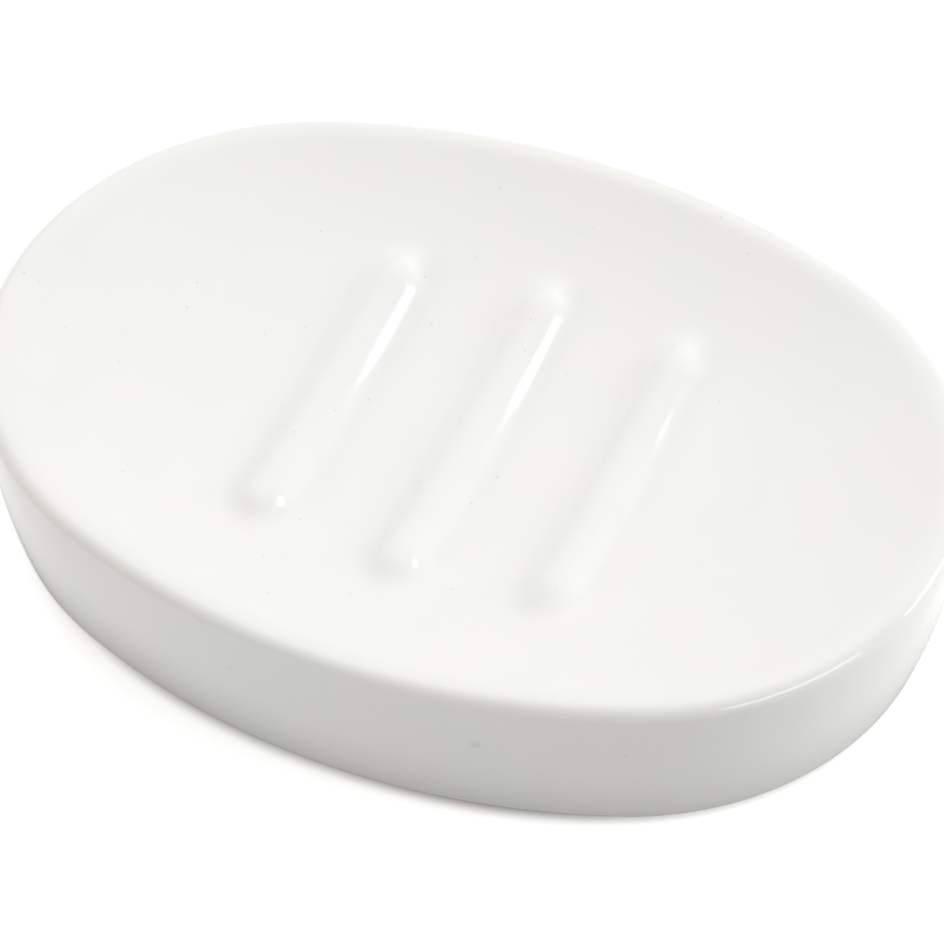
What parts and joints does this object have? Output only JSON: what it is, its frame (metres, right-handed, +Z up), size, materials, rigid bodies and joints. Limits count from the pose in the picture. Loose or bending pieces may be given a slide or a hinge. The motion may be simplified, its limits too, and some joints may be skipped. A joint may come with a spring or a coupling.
{
  "type": "soap dish",
  "caption": "Oval glazed ceramic soap dish with a shallow well, raised drain ribs, a hollow underside and small non-slip pads on its foot.",
  "frame": {"origin": "under the middle of the dish, on the surface that the pads stand on", "axes": "+X along the length to the right end, +Y across the width to the rear, +Z up"},
  "size_m": [0.14, 0.103, 0.0272],
  "materials": {
    "glazed_casting": "gloss",
    "non_slip_pad": "satin"
  },
  "bodies": {
    "root": {"dish": "glazed_casting", "pad_front_left": "non_slip_pad", "pad_front_right": "non_slip_pad", "pad_rear_left": "non_slip_pad", "pad_rear_right": "non_slip_pad"}
  },
  "joints": []
}
